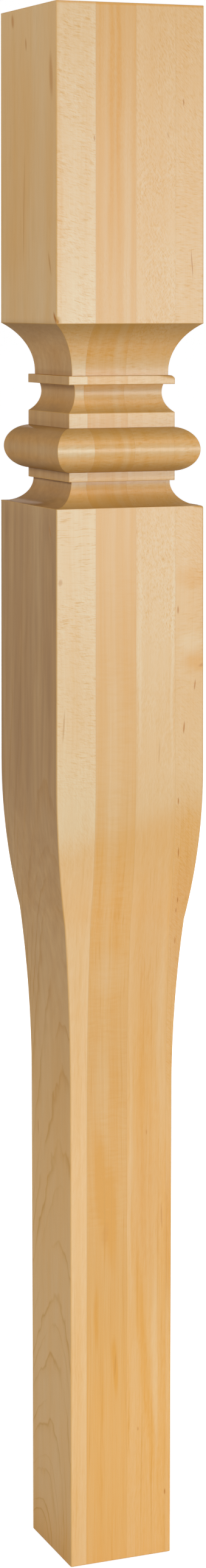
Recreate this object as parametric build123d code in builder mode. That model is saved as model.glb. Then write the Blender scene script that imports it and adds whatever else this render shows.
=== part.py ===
from build123d import *
import os

# Square furniture post, glued up from four boards and then machined to one moulded shape.
#
# The post stands on its foot: the origin is the foot's centre, +Z is up, and the glue planes
# are normal to X. The same outline is worked on all four faces, so the mouldings meet in
# mitres at the corners, and every level of the post is square in plan.

os.makedirs("parts", exist_ok=True)

# Widths across the flats, in millimetres, from the foot up.
foot_width = 60.7
leg_width = 61.9
ridge_width = 72.6
block_width = 88.9
lower_neck_width = 59.8
step_width = 64.2
waist_width = 52.8
collar_neck_width = 54.4
collar_width = 64.4
throat_width = 58.5

# How far the bead's front, and the edge of the hollow under it, lie inside the block's face.
bead_set_back = 1.25
hollow_set_back = 0.95

# Heights of the sections, in millimetres, from the foot up.
leg_height = 262.0
shoulder_hollow_height = 100.0
shoulder_round_height = 85.0
lower_block_height = 149.2
lower_neck_height = 0.3
base_step_height = 5.3
bead_height = 24.7
band_height = 8.3
waist_above_band = 10.8
waist_below_collar = 5.1
collar_height = 4.9
throat_height = 1.5
cove_height = 27.8
top_block_height = 177.8

# Radius of the sanded corners that run up the leg, the shoulder and the blocks.
corner_radius = 0.8

# Radius that softens the faint ridge where the shoulder's hollow and round meet.
ridge_radius = 30.0

# The two inner boards meet a little to the right of the post's axis. The outer two are glued
# to them, and are trimmed to the block's width.
middle_glue_offset = 3.35
left_inner_board_width = 24.3
right_inner_board_width = 23.9

# The hollow on the lower block is a quarter circle, from the neck out to the block's edge.
hollow_radius = (block_width - lower_neck_width) / 2 - hollow_set_back

# Levels above the foot.
leg_top = leg_height
ridge_level = leg_top + shoulder_hollow_height
lower_block_bottom = ridge_level + shoulder_round_height
lower_block_top = lower_block_bottom + lower_block_height
hollow_top = lower_block_top + hollow_radius
base_step_bottom = hollow_top + lower_neck_height
bead_bottom = base_step_bottom + base_step_height
bead_top = bead_bottom + bead_height
band_top = bead_top + band_height
waist_level = band_top + waist_above_band
collar_bottom = waist_level + waist_below_collar
collar_top = collar_bottom + collar_height
cove_bottom = collar_top + throat_height
cove_top = cove_bottom + cove_height
post_height = cove_top + top_block_height


def leg_and_shoulder():
    """The slightly tapered leg, and the hollow and round that swell it to the lower block."""
    ridge = (ridge_width / 2, ridge_level)
    Polyline((0, 0), (foot_width / 2, 0), (leg_width / 2, leg_top))
    TangentArc((leg_width / 2, leg_top), ridge, tangent=(0, 1))
    TangentArc((block_width / 2, lower_block_bottom), ridge, tangent=(0, -1))
    Line((block_width / 2, lower_block_bottom), (block_width / 2, lower_block_top))


def hollow_and_bead():
    """The quarter-round hollow on the lower block, then the base step and the bead."""
    neck = lower_neck_width / 2
    step = step_width / 2
    bead_front = (block_width / 2 - bead_set_back, bead_bottom + bead_height / 2)
    hollow_foot = (neck + hollow_radius, lower_block_top)
    Line((block_width / 2, lower_block_top), hollow_foot)
    TangentArc((neck, hollow_top), hollow_foot, tangent=(0, -1))
    Polyline((neck, hollow_top), (neck, base_step_bottom), (step, base_step_bottom), (step, bead_bottom))
    ThreePointArc((step, bead_bottom), bead_front, (step, bead_top))
    Line((step, bead_top), (step, band_top))


def scotia_and_collar():
    """The narrow waist of the post, which is hollowed on every face, and the collar over it."""
    band_edge = (step_width / 2, band_top)
    waist = (waist_width / 2, waist_level)
    collar_neck = (collar_neck_width / 2, collar_bottom)
    ThreePointArc(band_edge, waist, collar_neck)
    Polyline(collar_neck, (collar_width / 2, collar_bottom), (collar_width / 2, collar_top))


def cove_and_top_block():
    """The large cove, and the plain square block that takes the rails or a table top."""
    throat = throat_width / 2
    Polyline((collar_width / 2, collar_top), (throat, collar_top), (throat, cove_bottom))
    TangentArc((throat, cove_bottom), (block_width / 2, cove_top), tangent=(0, 1))
    Polyline((block_width / 2, cove_top), (block_width / 2, post_height), (0, post_height))


def face_outline(plane):
    """The whole outline of one face of the post, on a vertical plane."""
    with BuildSketch(plane) as outline:
        with BuildLine():
            leg_and_shoulder()
            hollow_and_bead()
            scotia_and_collar()
            cove_and_top_block()
            mirror(about=Plane.YZ)
        make_face()
        # Upwards from the foot, the outline's corners lie at the foot, the leg's top and the ridge.
        ridge_corners = outline.vertices().group_by(Axis.Y)[2]
        fillet(ridge_corners, ridge_radius)
    return outline.sketch


# The glued blank, with the outline cut through it along Y and then along X.
with BuildPart() as post:
    extrude(face_outline(Plane.XZ.offset(-block_width / 2)), amount=block_width)
    extrude(face_outline(Plane.YZ.offset(-block_width / 2)), amount=block_width, mode=Mode.INTERSECT)
    # Only the corners of the leg, the shoulder and the blocks are taller than the cove.
    long_corners = post.edges().filter_by(lambda edge: edge.bounding_box().size.Z > cove_height * 1.1)
    fillet(long_corners, corner_radius)


def board_of_post(left, right, bottom, top):
    """The share of the post that one board holds, between two planes normal to X."""
    with BuildPart() as board:
        add(post.part)
        with BuildSketch(Plane.XY.offset(bottom)):
            with Locations(((left + right) / 2, 0)):
                Rectangle(right - left, block_width)
        extrude(amount=top - bottom, mode=Mode.INTERSECT)
    return board


# The block's left face, the three glue planes and the block's right face, along X.
left_face = -block_width / 2
left_glue = middle_glue_offset - left_inner_board_width
middle_glue = middle_glue_offset
right_glue = middle_glue_offset + right_inner_board_width
right_face = block_width / 2

# The waist is cut in past the right glue plane, so it leaves the right outer board in two
# lengths: an upper one, down to the collar, and a lower one, from the scotia to the foot.
boards = {
    "left_outer_board": board_of_post(left_face, left_glue, 0, post_height),
    "left_inner_board": board_of_post(left_glue, middle_glue, 0, post_height),
    "right_inner_board": board_of_post(middle_glue, right_glue, 0, post_height),
    "right_outer_board_lower": board_of_post(right_glue, right_face, 0, waist_level),
    "right_outer_board_upper": board_of_post(right_glue, right_face, waist_level, post_height),
}

for name, board in boards.items():
    board.part.label = name
    export_step(board.part, f"parts/{name}.step")
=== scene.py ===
import functools
import math
import operator

import bpy
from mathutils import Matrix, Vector


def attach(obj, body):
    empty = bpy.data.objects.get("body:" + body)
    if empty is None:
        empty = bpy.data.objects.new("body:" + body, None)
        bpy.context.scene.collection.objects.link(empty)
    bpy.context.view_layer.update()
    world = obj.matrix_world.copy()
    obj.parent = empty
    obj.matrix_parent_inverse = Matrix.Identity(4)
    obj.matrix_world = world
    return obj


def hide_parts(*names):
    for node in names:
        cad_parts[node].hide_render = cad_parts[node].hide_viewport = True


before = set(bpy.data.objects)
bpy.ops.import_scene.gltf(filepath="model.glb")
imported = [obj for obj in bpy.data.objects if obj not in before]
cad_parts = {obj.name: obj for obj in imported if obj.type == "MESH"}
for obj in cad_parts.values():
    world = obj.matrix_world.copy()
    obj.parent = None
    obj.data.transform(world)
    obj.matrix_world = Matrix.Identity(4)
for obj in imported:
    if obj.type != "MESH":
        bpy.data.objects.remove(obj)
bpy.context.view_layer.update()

# A square maple post, glued up from four boards and machined to one moulded shape. Its lengths are
# in millimetres, and are turned into metres where the meshes are made.
MM = 0.001

# Half-widths of the post, from the foot up.
FOOT, LEG, RIDGE, BLOCK = 30.35, 30.95, 36.3, 44.45
LOWER_NECK, STEP, BEAD = 29.9, 32.1, 43.2
WAIST, COLLAR_NECK, COLLAR, THROAT = 26.4, 27.2, 32.2, 29.25

# Heights above the foot.
LEG_TOP, RIDGE_LEVEL, BLOCK_BOTTOM, BLOCK_TOP = 262.0, 362.0, 447.0, 596.2
HOLLOW_TOP, STEP_BOTTOM, BEAD_BOTTOM, BEAD_TOP, BAND_TOP = 609.8, 610.1, 615.4, 640.1, 648.4
WAIST_LEVEL, COLLAR_BOTTOM, COLLAR_TOP = 659.2, 664.3, 669.2
COVE_BOTTOM, COVE_TOP, POST_HEIGHT = 670.7, 698.5, 876.3

# The hollow on the lower block is a quarter circle, which starts a little inside the block's face.
HOLLOW_RADIUS = 13.6
HOLLOW_FOOT = LOWER_NECK + HOLLOW_RADIUS

# The boards lie side by side along X, between these glue planes.
LEFT_GLUE, MIDDLE_GLUE, RIGHT_GLUE = -20.95, 3.35, 27.25

# The upright corners are rounded less on the mouldings, which lie between these two levels, than on
# the plain lengths. The mouldings' own edges are eased, and a ring of points this far from an edge or
# an inner corner supports the flats beside it.
MOULDINGS_FROM, MOULDINGS_TO = 595.9, 698.8
CORNER_RADIUS = 0.8
MOULDING_CORNER_RADIUS = 0.35
MOULDING_EDGE_RADIUS = 0.3
SUPPORT = 0.35

# The blocks' rings lie closer from these levels to the mouldings, where the corners are knocked.
CLOSE_RINGS_FROM, CLOSE_RINGS_TO = 588.0, 708.0

# The small nick in the near corner of the top block, just over the cove.
NICK_LEVEL, NICK_HALF_WIDTH, NICK_HALF_HEIGHT, NICK_DEPTH = 700.0, 3.0, 2.4, 0.5


# The outline of one face, as half-widths and heights.

def vertical_arc(vertical_end, other_end, steps):
    """Points of an arc that is upright at one end, from that end to the other."""
    x0, z0 = vertical_end
    run, rise = other_end[0] - x0, other_end[1] - z0
    radius = (run * run + rise * rise) / (2 * run)
    sweep = math.asin(rise / radius)
    return [
        (x0 + radius - radius * math.cos(sweep * i / steps), z0 + radius * math.sin(sweep * i / steps))
        for i in range(steps + 1)
    ]


def bulge(start, end, middle_x, steps):
    """Points of the arc between two ends that are one above the other, out to middle_x."""
    depth, rise = middle_x - start[0], (end[1] - start[1]) / 2
    radius = (rise * rise + depth * depth) / (2 * depth)
    centre = (middle_x - radius, start[1] + rise)
    first = math.atan2(-rise, start[0] - centre[0])
    return [
        (centre[0] + radius * math.cos(first * (1 - 2 * i / steps)),
         centre[1] + radius * math.sin(first * (1 - 2 * i / steps)))
        for i in range(steps + 1)
    ]


def scotia(start, middle, end, steps):
    """Points of the hollow arc from start to end that passes through middle."""
    (ax, az), (bx, bz), (cx, cz) = start, middle, end
    d = 2 * (ax * (bz - cz) + bx * (cz - az) + cx * (az - bz))
    a2, b2, c2 = ax * ax + az * az, bx * bx + bz * bz, cx * cx + cz * cz
    ox = (a2 * (bz - cz) + b2 * (cz - az) + c2 * (az - bz)) / d
    oz = (a2 * (cx - bx) + b2 * (ax - cx) + c2 * (bx - ax)) / d
    radius = math.hypot(ax - ox, az - oz)
    first = math.atan2(az - oz, ox - ax)
    last = math.atan2(cz - oz, ox - cx)
    return [
        (ox - radius * math.cos(first + (last - first) * i / steps),
         oz + radius * math.sin(first + (last - first) * i / steps))
        for i in range(steps + 1)
    ]


def straight(start, end, steps):
    """Evenly spaced points from start to end."""
    return [
        (start[0] + (end[0] - start[0]) * i / steps, start[1] + (end[1] - start[1]) * i / steps)
        for i in range(steps + 1)
    ]


def face_outline():
    """The whole outline from the foot to the top, with every moulding as it is machined."""
    hollow = [
        (HOLLOW_FOOT - HOLLOW_RADIUS * math.sin(angle), HOLLOW_TOP - HOLLOW_RADIUS * math.cos(angle))
        for angle in (math.pi / 2 * i / 22 for i in range(23))
    ]
    runs = [
        straight((FOOT, 0), (LEG, LEG_TOP), 14),
        vertical_arc((LEG, LEG_TOP), (RIDGE, RIDGE_LEVEL), 14),
        vertical_arc((BLOCK, BLOCK_BOTTOM), (RIDGE, RIDGE_LEVEL), 14)[::-1],
        straight((BLOCK, BLOCK_BOTTOM), (BLOCK, CLOSE_RINGS_FROM), 8),
        straight((BLOCK, CLOSE_RINGS_FROM), (BLOCK, BLOCK_TOP), 12),
        straight((BLOCK, BLOCK_TOP), (HOLLOW_FOOT, BLOCK_TOP), 2),
        hollow,
        [(LOWER_NECK, STEP_BOTTOM), (STEP, STEP_BOTTOM)],
        straight((STEP, STEP_BOTTOM), (STEP, BEAD_BOTTOM), 3),
        bulge((STEP, BEAD_BOTTOM), (STEP, BEAD_TOP), BEAD, 40),
        straight((STEP, BEAD_TOP), (STEP, BAND_TOP), 4),
        scotia((STEP, BAND_TOP), (WAIST, WAIST_LEVEL), (COLLAR_NECK, COLLAR_BOTTOM), 24),
        straight((COLLAR_NECK, COLLAR_BOTTOM), (COLLAR, COLLAR_BOTTOM), 3),
        straight((COLLAR, COLLAR_BOTTOM), (COLLAR, COLLAR_TOP), 9),
        straight((COLLAR, COLLAR_TOP), (THROAT, COLLAR_TOP), 6),
        [(THROAT, COVE_BOTTOM)],
        vertical_arc((THROAT, COVE_BOTTOM), (BLOCK, COVE_TOP), 26),
        straight((BLOCK, COVE_TOP), (BLOCK, CLOSE_RINGS_TO), 18),
        straight((BLOCK, CLOSE_RINGS_TO), (BLOCK, POST_HEIGHT), 10),
    ]
    points = [(0.0, 0.0)]
    for run in runs:
        points += [point for point in run if math.dist(point, points[-1]) > 1e-3]
    return points + [(0.0, POST_HEIGHT)]


def finished_outline():
    """The outline with its edges eased and its inner corners marked for painted shade: (half-width, height,
    edge).
    """
    raw = [Vector(point) for point in face_outline()]
    points = []
    for before, here, after in zip(raw, raw[1:], raw[2:]):
        back, on = before - here, after - here
        turn = math.atan2(on.x * back.y - on.y * back.x, -on.dot(back))
        if abs(turn) < math.radians(24):
            points.append((here.x, here.y, 0.0))
            continue
        room = 0.45 * min(back.length, on.length)
        reach = min(room, MOULDING_EDGE_RADIUS * math.tan(turn / 2) if turn > 0 else SUPPORT)
        start, end = here + back.normalized() * reach, here + on.normalized() * reach
        if back.length > 3 * (reach + SUPPORT):
            support = here + back.normalized() * (reach + SUPPORT)
            points.append((support.x, support.y, 0.0))
        if turn > 0:
            steps = max(2, round(math.degrees(turn) / 22))
            for i in range(steps + 1):
                t = i / steps
                eased = start * (1 - t) ** 2 + here * 2 * t * (1 - t) + end * t * t
                points.append((eased.x, eased.y, 1.0))
        else:
            points += [(start.x, start.y, 0.0), (here.x, here.y, -1.0), (end.x, end.y, 0.0)]
        if on.length > 3 * (reach + SUPPORT):
            support = here + on.normalized() * (reach + SUPPORT)
            points.append((support.x, support.y, 0.0))
    return points


# The knocks on the post's corners.

def worn_corner(point, corner, radius, reach):
    """Rounds off an upper edge near one corner of the post, less and less along the edge."""
    x, y, z = point
    side_x, side_y = math.copysign(1, corner[0]), math.copysign(1, corner[1])
    in_x, in_y, below = (corner[0] - x) * side_x, (corner[1] - y) * side_y, corner[2] - z
    along, depth = max(in_x, in_y), min(in_x, in_y)
    if along >= reach or depth < -0.01 or below < -0.01:
        return point
    rounding = radius * (1 - along / reach) ** 0.7
    across, down = rounding - depth, rounding - below
    length = math.hypot(across, down)
    if min(across, down) <= 0 or length <= rounding:
        return point
    pull = 1 - rounding / length
    z -= down * pull
    if in_x < rounding:
        x -= side_x * across * pull
    if in_y < rounding:
        y -= side_y * across * pull
    return (x, y, z)


def knocked(point):
    """Moves a point of the surface to where the small knocks on the corners leave it."""
    point = worn_corner(point, (COLLAR, -COLLAR, COLLAR_TOP), radius=2.6, reach=9)
    x, y, z = worn_corner(point, (BLOCK, -BLOCK, BLOCK_TOP), radius=1.7, reach=7)
    away = math.hypot((x + BLOCK) / NICK_HALF_WIDTH, (y + BLOCK) / NICK_HALF_WIDTH,
                      (z - NICK_LEVEL) / NICK_HALF_HEIGHT)
    if away < 1:
        push = NICK_DEPTH * (1 - away) ** 0.8
        x, y = x + push, y + push
    return (x, y, z)


# Meshes of the boards.

def board_ring(half, z, edge, left, right, own_side):
    """One ring of a board, anticlockwise from above, as (x, y, z, edge).

    half: half-width of the post at height z. own_side: -1 or 1 for the board that makes the post's
    left or right side, and 0 for an inner board.
    """
    near, far = max(left, -half), min(right, half)
    if own_side == 0:
        front = [(near + (far - near) * i / 10, -half, edge) for i in range(11)]
        ring = front + [(x, -y, e) for x, y, e in front[::-1]]
    else:
        # From the glue plane to the post's corner, round it and across the post's own side.
        width = half - abs(near if own_side > 0 else far)
        plain = z < MOULDINGS_FROM or z > MOULDINGS_TO
        radius = min(CORNER_RADIUS if plain else MOULDING_CORNER_RADIUS, 0.45 * width)
        shares = (1.0, 0.8, 0.64, 0.5, 0.38, 0.28, 0.2, 0.14, 0.09, 0.05, 0.02, 0.0)
        front = [(half - radius - (width - radius) * share, -half, edge) for share in shares]
        for i in range(1, 6):
            angle = math.pi / 2 * i / 6
            front.append((half - radius + radius * math.sin(angle), -half + radius - radius * math.cos(angle),
                          edge if edge < 0 else 1.0))
        side = [(half, (radius - half) * (1 - i / 5), edge) for i in range(11)]
        ring = front + side + [(x, -y, e) for x, y, e in front[::-1]]
        if own_side < 0:
            ring = [(-x, y, e) for x, y, e in ring[::-1]]
    return [(*knocked((x, y, z)), e) for x, y, e in ring]


def board_piece(node, left, right, own_side, material, bottom=0.0, top=math.inf):
    """A closed board between two planes normal to X and two heights, which replaces its CAD node.

    own_side: as in board_ring. material: the board's material.
    """
    name = node + "_wood"
    # Where the post is narrower than its glue plane, the right outer board has no wood.
    narrowest = left + 0.1 if own_side > 0 else 0.0
    rings = [
        board_ring(half, z, edge, left, right, own_side)
        for half, z, edge in finished_outline()
        if bottom <= z <= top and half >= narrowest
    ]
    count = len(rings[0])
    faces = [tuple(range(count))[::-1], tuple(range((len(rings) - 1) * count, len(rings) * count))]
    for level in range(len(rings) - 1):
        low, high = level * count, (level + 1) * count
        faces += [(low + i, low + (i + 1) % count, high + (i + 1) % count, high + i) for i in range(count)]
    mesh = bpy.data.meshes.new(name)
    mesh.from_pydata([[c * MM for c in p[:3]] for ring in rings for p in ring], [], faces)
    edges = mesh.attributes.new("edge", "FLOAT", "POINT")
    edges.data.foreach_set("value", [p[3] for ring in rings for p in ring])
    mesh.shade_smooth()
    mesh.set_sharp_from_angle(angle=math.radians(30))
    mesh.materials.append(material)
    piece = bpy.data.objects.new(name, mesh)
    bpy.context.scene.collection.objects.link(piece)
    normals = piece.modifiers.new("flat faces stay flat", "WEIGHTED_NORMAL")
    normals.keep_sharp = True
    normals.weight = 100
    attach(piece, "root")
    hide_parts(node)


# Materials.

class Num:
    """A number that varies over a surface. Arithmetic on it adds Math nodes."""

    def __init__(self, graph, socket):
        self.graph, self.socket = graph, socket

    def _math(self, operation, *others):
        return self.graph.math(operation, self, *others)

    def __add__(self, other):
        return self._math("ADD", other)

    def __sub__(self, other):
        return self._math("SUBTRACT", other)

    def __mul__(self, other):
        return self._math("MULTIPLY", other)

    def __truediv__(self, other):
        return self._math("DIVIDE", other)

    def __pow__(self, other):
        return self._math("POWER", other)

    def __neg__(self):
        return self * -1.0

    def __abs__(self):
        return self._math("ABSOLUTE")

    def max(self, other):
        return self._math("MAXIMUM", other)

    def min(self, other):
        return self._math("MINIMUM", other)

    def floor(self):
        return self._math("FLOOR")

    def fract(self):
        return self._math("FRACT")

    def ramp(self, low, high):
        """0 below low, 1 above high, smooth between. It falls where low is over high."""
        return self.graph.smooth_step(self, low, high)


def sum_of(numbers):
    """The sum of several Nums."""
    return functools.reduce(operator.add, numbers)


class Graph:
    """The nodes of one material or world."""

    def __init__(self, owner):
        owner.use_nodes = True
        self.owner, self.tree = owner, owner.node_tree
        self.tree.nodes.clear()

    def node(self, kind, inputs=None, **settings):
        node = self.tree.nodes.new("ShaderNode" + kind)
        for name, value in settings.items():
            setattr(node, name, value)
        for key, value in (inputs or {}).items():
            self.feed(node.inputs[key], value)
        return node

    def feed(self, socket, value):
        value = value.socket if isinstance(value, Num) else value
        if isinstance(value, bpy.types.NodeSocket):
            self.tree.links.new(value, socket)
        else:
            socket.default_value = value

    def math(self, operation, *values):
        node = self.node("Math", dict(enumerate(values)), operation=operation)
        return Num(self, node.outputs[0])

    def smooth_step(self, value, low, high):
        rising = low < high
        bounds = (low, high, 0.0, 1.0) if rising else (high, low, 1.0, 0.0)
        inputs = {"Value": value, "From Min": bounds[0], "From Max": bounds[1],
                  "To Min": bounds[2], "To Max": bounds[3]}
        return Num(self, self.node("MapRange", inputs, interpolation_type="SMOOTHSTEP").outputs[0])

    def vector(self, x, y, z):
        return self.node("CombineXYZ", {0: x, 1: y, 2: z}).outputs[0]

    def noise(self, x, y, z, detail=2.0, roughness=0.5):
        """Noise from -0.5 to 0.5 at a point given in units of its own size."""
        inputs = {"Vector": self.vector(x, y, z), "Scale": 1.0, "Detail": detail, "Roughness": roughness}
        return Num(self, self.node("TexNoise", inputs).outputs["Fac"]) - 0.5

    def mix(self, factor, a, b):
        node = self.node("Mix", data_type="RGBA")
        for name, value in (("Factor_Float", factor), ("A_Color", a), ("B_Color", b)):
            self.feed(next(s for s in node.inputs if s.identifier == name), value)
        return next(s for s in node.outputs if s.identifier == "Result_Color")

    def curve(self, value, stops):
        """A smooth curve through (position, level) stops, all from 0 to 1."""
        node = self.node("ValToRGB", {0: value})
        node.color_ramp.interpolation = "EASE"
        elements = node.color_ramp.elements
        while len(elements) < len(stops):
            elements.new(0.5)
        for element, (position, level) in zip(elements, stops):
            element.position, element.color = position, (level, level, level, 1.0)
        return Num(self, node.outputs[0])


# The wood from pale to golden, its browner parts, a brown that also paints shade, the finish on edges, and
# painted shade in the inner corners.
PALE = (0.785, 0.63, 0.40, 1.0)
DEEP = (0.725, 0.36, 0.075, 1.0)
# A brown for the grain's darker parts, which also paints shade on surfaces that face up or down.
BROWN_GRAIN_AND_SHADE = (0.36, 0.215, 0.065, 1.0)
HEART = (0.33, 0.185, 0.095, 1.0)
BROWN = (0.50, 0.19, 0.03, 1.0)
EDGE = (0.64, 0.36, 0.10, 1.0)
# Painted shade for the inner corners of the mouldings.
INNER_CORNER_SHADOW = (0.20, 0.085, 0.025, 1.0)
END_GRAIN = (0.60, 0.37, 0.17, 1.0)
GLUE = (0.34, 0.16, 0.05, 1.0)

# How golden the wide faces and the sides are along the post, as (share of its height, tone). They were set
# to match the photo, so they hold painted light as well as the wood's tone: a painted sheen on the wide faces
# from the shoulder up, and painted light and shade along the sides.
WIDE_FACE_TONES_AND_SHEEN = ((0.0, 0.80), (0.27, 0.76), (0.464, 0.65), (0.490, 0.34), (0.502, 0.33), (0.516, 0.38),
                   (0.548, 0.42), (0.68, 0.38), (0.80, 0.34), (0.88, 0.47), (1.0, 0.54))
SIDE_TONES_AND_LIGHT = ((0.0, 0.46), (0.035, 0.30), (0.115, 0.27), (0.29, 0.37), (0.40, 0.29), (0.53, 0.34),
              (0.67, 0.31), (0.74, 0.42), (0.80, 0.19), (0.86, 0.28), (0.92, 0.31), (1.0, 0.22))

# Width of one growth ring, in millimetres.
RING_SPACING = 4.0


def maple(name, seed, tone, contrast, pith, streaks, mottle, figures, bands, marks, side_marks=()):
    """Clear-coated hard maple for one board, in the post's own millimetres.

    tone: how golden the board is. contrast: how much that changes along its wide faces, painted sheen
    included.
    pith: the tree's axis beside the board high up, as x and y, and then how far it has come back along
    x and gone on along y at the foot.
    streaks, mottle: strength of the long soft streaks and of the cloudiness.
    figures: the silky figure of the wide faces, each (direction in degrees, length, width, strength,
    strength of its dark strokes, lowest z, highest z).
    bands: broad places of the wide faces that are more golden, or paler where the strength is negative,
    each (x, z, half-width, half-height, tilt in degrees, strength).
    marks, side_marks: small brown places on the front and on the side, each (x or y, z, half-width,
    half-height, tilt, strength).
    """
    g = Graph(bpy.data.materials.new(name))
    place = g.node("SeparateXYZ", {0: g.node("TexCoord").outputs["Object"]})
    x, y, z = (Num(g, place.outputs[i]) * (1.0 / MM) for i in range(3))
    normal = g.node("SeparateXYZ", {0: g.node("NewGeometry").outputs["Normal"]})
    nx, ny, nz = (abs(Num(g, normal.outputs[i])) for i in range(3))
    wide_face = (ny - nx).ramp(-0.08, 0.08)
    side_face = -wide_face + 1.0
    end_grain = nz.ramp(0.93, 0.99) * z.ramp(POST_HEIGHT - 2.3, POST_HEIGHT - 0.8).max(z.ramp(2.0, 0.5))

    # The grain wanders a little on its way up.
    bend = g.noise(x * 0.012 + seed, y * 0.012, z * 0.0045, 1.0)
    weave = g.noise(x * 0.05, y * 0.05 + seed, z * 0.02, 2.0)
    u = x + bend * 7.0 + weave * 1.4
    v = y - bend * 6.0 + weave * 3.0

    # Growth rings about a pith that leans, so that they cut the board's sides in arches. The lean is 1
    # at the foot, and fades over 200 mm of height.
    lean = g.math("POWER", 2.718, z * -0.005)
    from_x = u + lean * pith[2] - pith[0]
    from_y = v - lean * pith[3] - pith[1]
    radius = g.math("SQRT", from_x * from_x + from_y * from_y)
    uneven = g.noise(radius * 0.16 + seed, 3.1, 7.7, 1.0) * 9.0
    waver = g.noise(y * 0.13, x * 0.13 + seed, z * 0.09, 1.0) * 2.2
    count = (radius + uneven + waver) / RING_SPACING
    phase = count.fract()

    # Each ring darkens towards its outer line. High up the post the line is softer and fainter.
    softness = z.ramp(150.0, 280.0) * (-end_grain + 1.0)
    line = phase.ramp(0.25, 0.92) ** 4.0 * (softness * 0.35 + 0.4)
    line = line + phase.ramp(0.78, 0.92) ** 2.0 * (softness * -0.5 + 0.6)
    line = line * phase.ramp(1.0, 0.90)
    line = line * g.noise(count.floor() * 1.37, y * 0.03 + seed, z * 0.02, 1.0).ramp(-0.2, 0.14)
    line = line * (z.ramp(600.0, 380.0) * 0.75 + 0.25).max(end_grain)

    # Long soft streaks, thin darker threads, the fine grain, the cloudiness and the sides' mottling.
    broad = g.noise(u * 0.17 + seed, v * 0.035, z * 0.0016, 2.0, 0.55)
    narrow = g.noise(u * 0.75, v * 0.16 + seed, z * 0.006, 2.0, 0.6)
    fine = g.noise(u * 3.2, v * 1.4 + seed, z * 0.05, 2.0, 0.6)
    threads = g.noise(u * 0.9, v * 0.3, z * 0.009 + seed, 2.0).ramp(0.07, 0.30) * wide_face
    threads = threads * (z.ramp(480.0, 300.0) * 0.7 + 0.3)
    cloud = g.noise(x * 0.045, y * 0.045 + seed, z * 0.014, 3.0, 0.55)
    mottling = g.noise(x * 0.22, y * 0.22 + seed, z * 0.05, 2.0) * side_face

    # The figure: short soft strokes in patches, and among them some darker ones.
    warp = g.noise(x * 0.09, seed + 4.0, z * 0.06, 1.0) * 3.0
    patches = g.noise(x * 0.08, y * 0.08, z * 0.035 + seed, 2.0).ramp(-0.24, 0.10) * 0.8 + 0.2
    strokes = []
    for number, (direction, length, width, strength, dark, lowest, highest) in enumerate(figures):
        angle = math.radians(direction)
        along = (x * math.cos(angle) + z * math.sin(angle)) / length
        across = (z * math.cos(angle) - x * math.sin(angle) + warp) / width
        stroke = g.noise(along + seed + number * 5.3, y * 0.4, across, 2.0, 0.6)
        window = z.ramp(lowest - 14.0, lowest + 14.0) * z.ramp(highest + 14.0, highest - 14.0)
        strokes.append((stroke * strength + stroke.ramp(0.06, 0.24) * dark) * window * patches)
    figure = sum_of(strokes)

    def places(across, listed, wobble):
        """Soft spots at the listed places of a face, as one number."""
        spots = []
        for at, level, half_width, half_height, tilt, strength in listed:
            spot = g.node("Mapping", {0: g.vector(across + wobble, 0.0, z), "Location": (at, 0, level),
                                      "Rotation": (0, math.radians(tilt), 0),
                                      "Scale": (half_width, 1, half_height)}, vector_type="TEXTURE")
            ball = g.node("TexGradient", {0: spot.outputs[0]}, gradient_type="SPHERICAL")
            spots.append(Num(g, ball.outputs["Fac"]).ramp(0.0, 0.7) * strength)
        return sum_of(spots)

    # The depth of tone is 0 at the palest and 1 at the most golden. Going up the wide faces it falls along a
    # slanted line on the shoulder, and above it the paler tone is partly a painted sheen. A surface cut
    # across the grain takes up more of the finish than a plain face does; the same term also stands in for
    # the sheen that tilted surfaces lose, so it is partly the wood and partly painted light.
    height = g.curve((z - x * 0.23) / POST_HEIGHT, WIDE_FACE_TONES_AND_SHEEN)
    depth = (height - 0.5) * wide_face * contrast + tone
    depth = depth + nz.ramp(0.02, 0.45) * (wide_face * (0.9 * (0.95 - tone) - 0.22) + 0.22)
    depth = depth + z.ramp(POST_HEIGHT - 1.9, POST_HEIGHT - 0.4) * wide_face * 0.5
    depth = depth + broad * streaks + narrow * (streaks * 0.5) + fine * 0.2 + cloud * mottle + threads * 0.16
    # The sides' tone curve holds painted light and shade along the post as well as the wood's tone.
    side_height = g.curve(z / POST_HEIGHT, SIDE_TONES_AND_LIGHT)
    depth = depth + side_height * side_face + line * (side_face * 0.20 + end_grain * 0.3 + 0.03)
    depth = depth + places(x, bands, weave * 5.0) * wide_face
    depth = depth + figure * wide_face
    colour = g.mix(depth.max(0.0).min(1.0), PALE, DEEP)

    # Surfaces that face up or down get painted shade. Ring lines and strokes are browner too, and so is the
    # heartwood that comes to the narrow faces of the lower block.
    grain_and_painted_shade = nz.ramp(0.3, 0.95) * (end_grain * -0.32 + 0.60)
    grain_and_painted_shade = grain_and_painted_shade + line * (side_face * 0.20 + end_grain * 0.4 + 0.02)
    grain_and_painted_shade = grain_and_painted_shade + z.ramp(380.0, 280.0) * z.ramp(70.0, 170.0) * wide_face * ((tone - 0.2) * 0.28)
    grain_and_painted_shade = grain_and_painted_shade + threads * 0.10 + mottling * 0.16 + wide_face * (max(tone - 0.5, 0.0) * 0.2)
    grain_and_painted_shade = grain_and_painted_shade + figure.max(0.0) * wide_face * 0.3
    heart = z.ramp(200.0, 480.0) * z.ramp(702.0, 696.0) * (z.ramp(610.0, 585.0) * 0.22 + 0.38) * side_face
    heart = heart * (narrow * 0.9 + broad * 0.5 + 1.0)
    colour = g.mix(heart, g.mix(grain_and_painted_shade.min(0.9), colour, BROWN_GRAIN_AND_SHADE), HEART)

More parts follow.
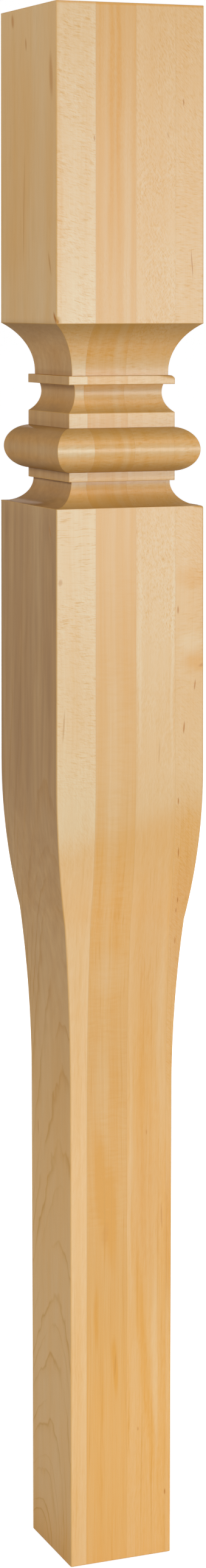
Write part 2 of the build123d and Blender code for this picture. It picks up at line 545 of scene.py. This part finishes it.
    # Marks in the wood, the finish on the eased edges, and painted shade in the inner corners.
    front = y.ramp(4.0, -4.0) * wide_face
    colour = g.mix(places(x, marks, weave * 2.0) * front, colour, BROWN)
    if side_marks:
        colour = g.mix(places(y, side_marks, weave * 2.0) * side_face, colour, BROWN)
    edge = Num(g, g.node("Attribute", attribute_name="edge").outputs["Fac"])
    colour = g.mix(edge.ramp(0.2, 1.0) * 0.55, colour, EDGE)
    colour = g.mix(edge.ramp(-0.3, -1.0) * 0.75, colour, INNER_CORNER_SHADOW)
    colour = g.mix(end_grain * 0.45, colour, END_GRAIN)
    glue = abs(x - LEFT_GLUE).min(abs(x - MIDDLE_GLUE)).min(abs(x - RIGHT_GLUE))
    colour = g.mix(glue.ramp(0.25, 0.08) * (end_grain * 0.4 + 0.09), colour, GLUE)

    # A satin clear coat over the sanded grain. It thins at a grazing view, so that the white
    # surroundings don't veil the sides.
    relief = fine * 0.6 + narrow * 0.5
    facing = Num(g, g.node("LayerWeight", {"Blend": 0.5}).outputs["Facing"])
    bump = g.node("Bump", {"Strength": 0.12, "Distance": 0.0002, "Height": relief})
    shader = g.node("BsdfPrincipled", {
        "Base Color": colour,
        "Roughness": fine * 0.12 + cloud * 0.1 + 0.46,
        "Normal": bump.outputs[0],
        "Specular IOR Level": 0.0,
        "Coat Weight": facing.ramp(0.95, 0.45) * 0.11 + 0.03,
        "Coat Roughness": 0.22,
        "Coat IOR": 2.0,
    })
    g.node("OutputMaterial", {"Surface": shader.outputs[0]})
    return g.owner


left_outer = maple(
    "left_outer_maple", seed=11.3, tone=0.32, contrast=0.96, pith=(66.0, -38.0, 70.0, 60.0),
    streaks=0.34, mottle=0.24,
    figures=((-14, 5.0, 0.8, 0.8, 0.22, 690, 876), (-52, 2.4, 0.65, 0.6, 0.0, 690, 876),
             (4, 5.0, 0.9, 0.6, 0.10, 600, 700), (1, 8.0, 0.95, 0.4, 0.42, 520, 598),
             (-12, 5.0, 0.7, 0.6, 0.18, 440, 560), (-60, 2.6, 0.7, 0.45, 0.0, 400, 560),
             (88, 7.0, 0.9, 0.3, 0.0, 0, 440)),
    bands=((-43.0, 760.0, 3.0, 110.0, 0, 0.22), (-32.0, 500.0, 5.0, 60.0, 0, 0.10)),
    marks=((-42.0, 555.5, 1.7, 2.6, 10, 0.44), (-40.0, 476.0, 0.7, 12.0, 3, 0.40),
           (-21.6, 801.0, 0.6, 2.4, 0, 0.64), (-44.2, 699.6, 2.0, 1.9, 0, 0.95)),
    side_marks=((24.0, 870.0, 2.6, 5.5, 8, 0.58), (2.8, 855.5, 1.3, 5.0, 6, 0.64),
                (-36.5, 836.0, 3.6, 17.0, 4, 0.48), (6.0, 764.0, 0.9, 40.0, -2, 0.45),
                (-34.5, 732.0, 1.2, 9.0, 20, 0.48), (-42.5, 701.5, 1.9, 5.0, 30, 0.95),
                (20.0, 237.0, 0.9, 6.0, 4, 0.50), (-35.0, 583.0, 1.2, 5.0, 25, 0.40)))
left_inner = maple(
    "left_inner_maple", seed=27.8, tone=0.70, contrast=0.45, pith=(-78.0, 9.0, -22.0, 0.0),
    streaks=0.42, mottle=0.14,
    figures=((-80, 2.4, 0.7, 0.35, 0.0, 690, 876), (2, 5.0, 0.9, 0.5, 0.08, 600, 700),
             (-2, 10.0, 1.8, 0.22, 0.0, 180, 560)),
    bands=((-11.5, 800.0, 2.6, 150.0, 0, 0.13), (-7.0, 800.0, 2.0, 150.0, 0, 0.12),
           (-10.0, 830.0, 8.0, 120.0, 0, 0.10), (-15.0, 800.0, 3.0, 120.0, 0, -0.08),
           (-2.0, 700.0, 3.5, 200.0, 0, -0.18), (-8.0, 450.0, 12.0, 70.0, 0, -0.10),
           (-10.0, 206.0, 7.5, 50.0, -6, 0.22), (-3.7, 110.0, 2.4, 22.0, -3, 0.20),
           (-14.5, 140.0, 2.0, 26.0, 0, 0.16), (-13.0, 268.0, 6.0, 34.0, 0, -0.10),
           (-9.0, 334.0, 14.0, 18.0, 0, -0.12)),
    marks=((-10.0, 186.0, 2.6, 9.0, 8, 0.13), (-3.6, 111.0, 0.8, 9.0, 4, 0.29)))
right_inner = maple(
    "right_inner_maple", seed=43.1, tone=0.55, contrast=0.80, pith=(112.0, -18.0, -14.0, 0.0),
    streaks=0.30, mottle=0.20,
    figures=((-68, 2.6, 0.65, 0.8, 0.12, 690, 876), (60, 2.2, 0.75, 0.7, 0.10, 690, 795),
             (3, 4.0, 0.9, 0.6, 0.10, 600, 700), (-75, 2.2, 0.75, 0.9, 0.16, 520, 598),
             (55, 2.2, 0.8, 0.6, 0.0, 520, 598), (82, 3.0, 0.6, 0.6, 0.0, 430, 545),
             (86, 6.0, 1.0, 0.25, 0.0, 0, 430)),
    bands=((5.5, 520.0, 2.2, 90.0, 0, -0.20), (25.5, 520.0, 1.6, 90.0, 0, -0.20),
           (12.0, 290.0, 4.0, 90.0, 2, 0.04), (24.0, 290.0, 4.0, 90.0, 0, -0.18),
           (14.0, 120.0, 4.5, 110.0, -5, 0.15), (21.5, 110.0, 2.4, 80.0, 0, -0.18),
           (5.2, 200.0, 1.8, 110.0, 0, -0.20), (15.0, 530.0, 14.0, 100.0, 0, -0.12),
           (16.0, 260.0, 12.0, 100.0, 0, 0.08)),
    marks=((24.6, 193.0, 0.6, 9.0, -2, 0.42), (22.6, 803.4, 0.7, 2.6, -20, 0.38),
           (27.0, 34.8, 0.7, 2.2, 0, 0.80), (17.4, 459.0, 0.6, 9.0, 2, 0.29),
           (15.1, 241.5, 0.5, 2.0, 0, 0.48), (10.1, 73.0, 0.6, 1.6, 0, 0.48),
           (15.0, 350.0, 14.0, 65.0, 0, 0.07), (15.0, 200.0, 13.0, 65.0, 0, 0.07)))
right_outer = maple(
    "right_outer_maple", seed=61.7, tone=0.55, contrast=0.75, pith=(-61.0, 22.0, -84.0, -56.0),
    streaks=0.32, mottle=0.26,
    figures=((-48, 2.8, 0.65, 0.8, 0.14, 780, 876), (-8, 4.0, 0.85, 0.7, 0.20, 690, 790),
             (6, 4.0, 0.9, 0.6, 0.10, 600, 700), (-35, 2.4, 0.8, 0.8, 0.14, 560, 598),
             (4, 6.0, 1.1, 0.6, 0.14, 490, 566), (-45, 2.6, 0.6, 0.45, 0.06, 270, 500),
             (92, 6.0, 1.0, 0.25, 0.0, 0, 270)),
    bands=((42.0, 508.0, 14.0, 7.0, 6, 0.27), (38.0, 556.0, 16.0, 9.0, 0, 0.20),
           (36.0, 520.0, 10.0, 8.0, 0, -0.18), (36.0, 370.0, 10.0, 85.0, 0, 0.10),
           (31.0, 180.0, 9.0, 50.0, 0, 0.12), (31.0, 255.0, 9.0, 30.0, 0, -0.06)),
    marks=((32.2, 822.0, 0.42, 2.9, 0, 0.95), (37.2, 732.0, 0.45, 10.5, -3, 0.80),
           (28.6, 538.0, 0.55, 3.2, 0, 0.95), (38.9, 495.5, 0.55, 4.0, 6, 0.88),
           (32.6, 471.7, 0.6, 4.6, 5, 0.88), (29.3, 430.4, 0.5, 2.8, 4, 0.88),
           (43.4, 506.5, 3.2, 1.3, -12, 0.50), (30.0, 401.0, 0.5, 4.0, 0, 0.88),
           (31.2, 373.5, 0.5, 2.2, 0, 0.88), (30.6, 367.5, 0.5, 1.8, 0, 0.72),
           (31.0, 349.9, 0.5, 2.6, 0, 0.64), (35.0, 358.0, 14.0, 60.0, 0, 0.15),
           (29.0, 185.0, 12.0, 55.0, 0, 0.09)))

board_piece("left_outer_board", -BLOCK, LEFT_GLUE, -1, left_outer)
board_piece("left_inner_board", LEFT_GLUE, MIDDLE_GLUE, 0, left_inner)
board_piece("right_inner_board", MIDDLE_GLUE, RIGHT_GLUE, 0, right_inner)
# The waist parts the right outer board into two lengths.
board_piece("right_outer_board_lower", RIGHT_GLUE, BLOCK, 1, right_outer,
            top=WAIST_LEVEL)
board_piece("right_outer_board_upper", RIGHT_GLUE, BLOCK, 1, right_outer,
            bottom=WAIST_LEVEL)


# The floor, the light and the camera, in metres.

WHITE = (1.0, 1.0, 1.0, 1.0)
FLOOR_HALF_WIDTH, FLOOR_LEVEL = 40.0, -0.0005


def seen_directly(g):
    """1 for the rays that see the surroundings themselves, and 0 for those that only light the post."""
    rays = g.node("LightPath").outputs
    camera, glossy = Num(g, rays["Is Camera Ray"]), Num(g, rays["Is Glossy Ray"])
    return camera.max(glossy).max(Num(g, rays["Is Transmission Ray"]))


def floor_material():
    """A pale floor that takes the post's shadow and is white beside it."""
    g = Graph(bpy.data.materials.new("pale_floor"))
    place = g.node("TexCoord").outputs["Object"]
    cloud = Num(g, g.node("TexNoise", {"Vector": place, "Scale": 3.0, "Detail": 3.0}).outputs["Fac"])
    diffuse = g.node("BsdfDiffuse", {"Color": g.mix(cloud, (0.54, 0.54, 0.54, 1), (0.58, 0.58, 0.58, 1))})
    glow = g.node("Emission", {"Color": WHITE, "Strength": 0.88})
    lit = g.node("AddShader", {0: diffuse.outputs[0], 1: glow.outputs[0]})
    shown = g.node("MixShader", {0: seen_directly(g), 1: diffuse.outputs[0], 2: lit.outputs[0]})
    g.node("OutputMaterial", {"Surface": shown.outputs[0]})
    return g.owner


def studio():
    """Surroundings that are seen as white but light the post only a little."""
    g = Graph(bpy.data.worlds.new("studio"))
    light = g.node("Background", {"Color": WHITE, "Strength": 0.22})
    backdrop = g.node("Background", {"Color": WHITE, "Strength": 1.0})
    shown = g.node("MixShader", {0: seen_directly(g), 1: light.outputs[0], 2: backdrop.outputs[0]})
    g.node("OutputWorld", {"Surface": shown.outputs[0]})
    return g.owner


def softbox(name, place, target, width, height, power):
    """A soft rectangular studio lamp, in metres and watts, that looks at a point of the post."""
    lamp = bpy.data.lights.new(name, "AREA")
    lamp.shape = "RECTANGLE"
    lamp.size, lamp.size_y = width, height
    lamp.energy = power
    thing = bpy.data.objects.new(name, lamp)
    thing.location = place
    thing.rotation_euler = (Vector(target) - Vector(place)).to_track_quat("-Z", "Y").to_euler()
    thing.visible_camera = False
    bpy.context.scene.collection.objects.link(thing)


floor_mesh = bpy.data.meshes.new("floor")
floor_corners = [(-1, -1), (1, -1), (1, 1), (-1, 1)]
floor_mesh.from_pydata([(x * FLOOR_HALF_WIDTH, y * FLOOR_HALF_WIDTH, FLOOR_LEVEL) for x, y in floor_corners],
                       [], [(0, 1, 2, 3)])
floor_mesh.materials.append(floor_material())
floor = bpy.data.objects.new("floor", floor_mesh)
bpy.context.scene.collection.objects.link(floor)
bpy.context.scene.world = studio()

softbox("key", (1.65, -4.55, 0.52), (0, 0, 0.5), 2.0, 1.35, 89.0)
softbox("high_key", (0.9, -3.6, 3.8), (0, 0, 0.45), 1.6, 1.2, 44.0)
softbox("low_key", (0.18, -0.50, 0.09), (0, 0, 0.05), 0.9, 0.16, 1.07)
softbox("top_key", (0.30, -0.70, 1.25), (0, 0, 0.87), 0.4, 0.3, 0.68)
softbox("upper_fill", (-0.75, -0.1, 1.02), (0, 0, 0.75), 0.35, 0.35, 2.45)
softbox("lower_fill", (-0.60, -0.1, 0.03), (0, 0, 0.06), 0.35, 0.3, 1.38)
softbox("back_fill", (0.9, 2.2, 1.2), (0, 0, 0.45), 1.0, 1.0, 18.0)

# The camera stands a little above the post's waist, and its frame is shifted down to the foot.
camera = bpy.data.cameras.new("camera")
camera.lens = 71.47
camera.sensor_width = 36.0
camera.shift_x = 0.00136
camera.shift_y = -0.2628
camera.clip_start, camera.clip_end = 0.05, 100.0
viewer = bpy.data.objects.new("camera", camera)
viewer.location = (-0.6614, -1.6428, 0.7139)
viewer.rotation_euler = (math.radians(88.60), 0.0, math.radians(-21.93))
bpy.context.scene.collection.objects.link(viewer)
bpy.context.scene.camera = viewer
bpy.context.scene.view_settings.view_transform = "Standard"
